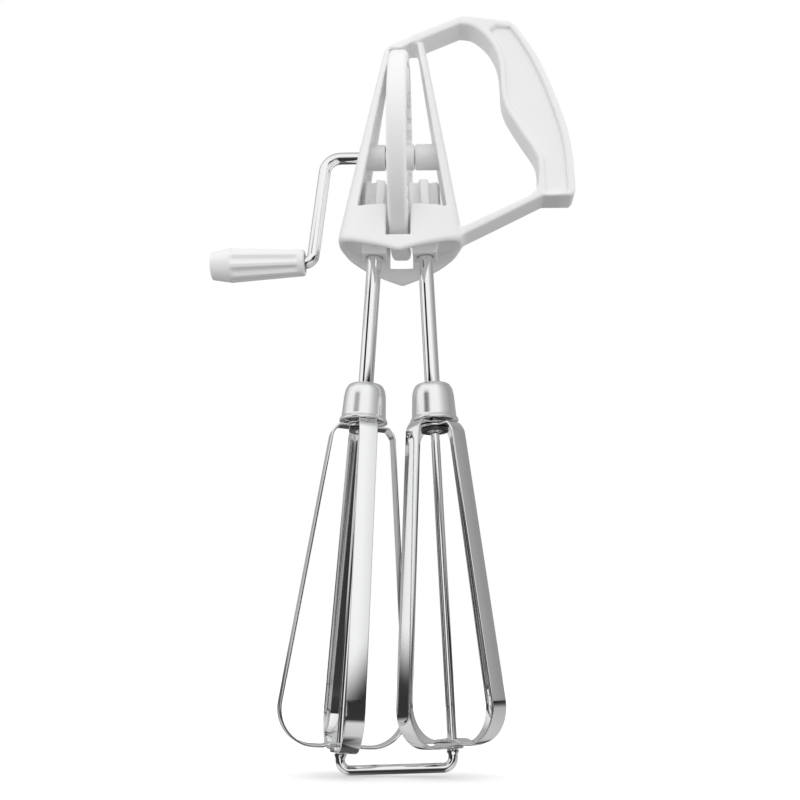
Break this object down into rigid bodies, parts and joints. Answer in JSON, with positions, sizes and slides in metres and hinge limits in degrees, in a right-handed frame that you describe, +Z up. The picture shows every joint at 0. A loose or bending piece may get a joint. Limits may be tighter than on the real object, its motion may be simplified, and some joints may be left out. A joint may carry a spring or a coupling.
{
  "type": "rotary egg beater",
  "caption": "Hand cranked egg beater: a white moulded gear case with a D handle, a crank and crown wheel, and paired strip whisks that spin on a bent foot wire.",
  "frame": {"origin": "middle of the D handle's hand grip, on its middle plane", "axes": "+Z up, from the whisks to the handle; +X from the gear wheel to the hand grip, with the crank on the -X side; +Y away from the viewer of the picture"},
  "size_m": [0.15, 0.0864, 0.3106],
  "materials": {
    "white_plastic": "white, satin gloss",
    "gear_plastic": "white, satin",
    "bush_plastic": "plain white",
    "chrome_wire": "bright chrome plate",
    "chrome_tube": "bright chrome plate",
    "bell_steel": "polished sheet steel",
    "blade_steel": "polished strip steel",
    "ring_steel": "plain steel"
  },
  "bodies": {
    "frame": {"frame_moulding": "white_plastic", "foot_wire": "chrome_wire", "guide_bush_left": "bush_plastic", "wire_lock_ring_left": "ring_steel", "foot_washer_left": "ring_steel", "guide_bush_right": "bush_plastic", "wire_lock_ring_right": "ring_steel", "foot_washer_right": "ring_steel"},
    "crank": {"drive_wheel": "gear_plastic", "crank_rod": "chrome_wire", "grip_lock_ring": "ring_steel"},
    "grip": {"crank_grip": "white_plastic", "grip_plug": "white_plastic"},
    "beater_left": {"pinion_left": "gear_plastic", "tube_left": "chrome_tube", "thrust_collar_left": "ring_steel", "bell_left": "bell_steel", "blade_outer_left": "blade_steel", "blade_inner_left": "blade_steel", "clamp_ring_left": "ring_steel"},
    "beater_right": {"pinion_right": "gear_plastic", "tube_right": "chrome_tube", "thrust_collar_right": "ring_steel", "bell_right": "bell_steel", "blade_outer_right": "blade_steel", "blade_inner_right": "blade_steel", "clamp_ring_right": "ring_steel"}
  },
  "joints": [
    {"name": "crank_turn", "type": "hinge", "parent": "frame", "child": "crank", "pos_m": [-0.05696, 0, -0.01601], "axis": [1, 0, 0], "continuous": true},
    {"name": "crank_grip_spin", "type": "hinge", "parent": "crank", "child": "grip", "pos_m": [-0.09308, 0, -0.06331], "axis": [-0.9996, 0, -0.0279], "continuous": true},
    {"name": "beater_left_spin", "type": "hinge", "parent": "frame", "child": "beater_left", "pos_m": [-0.07768, 0, -0.26241], "axis": [0.0513, 0, 0.9987], "continuous": true},
    {"name": "beater_right_spin", "type": "hinge", "parent": "frame", "child": "beater_right", "pos_m": [-0.03623, 0, -0.26241], "axis": [-0.0513, 0, 0.9987], "continuous": true}
  ],
  "couplings": [
    {"joint": "beater_left_spin", "follows": "crank_turn", "ratio": 5},
    {"joint": "beater_right_spin", "follows": "crank_turn", "ratio": -5}
  ]
}
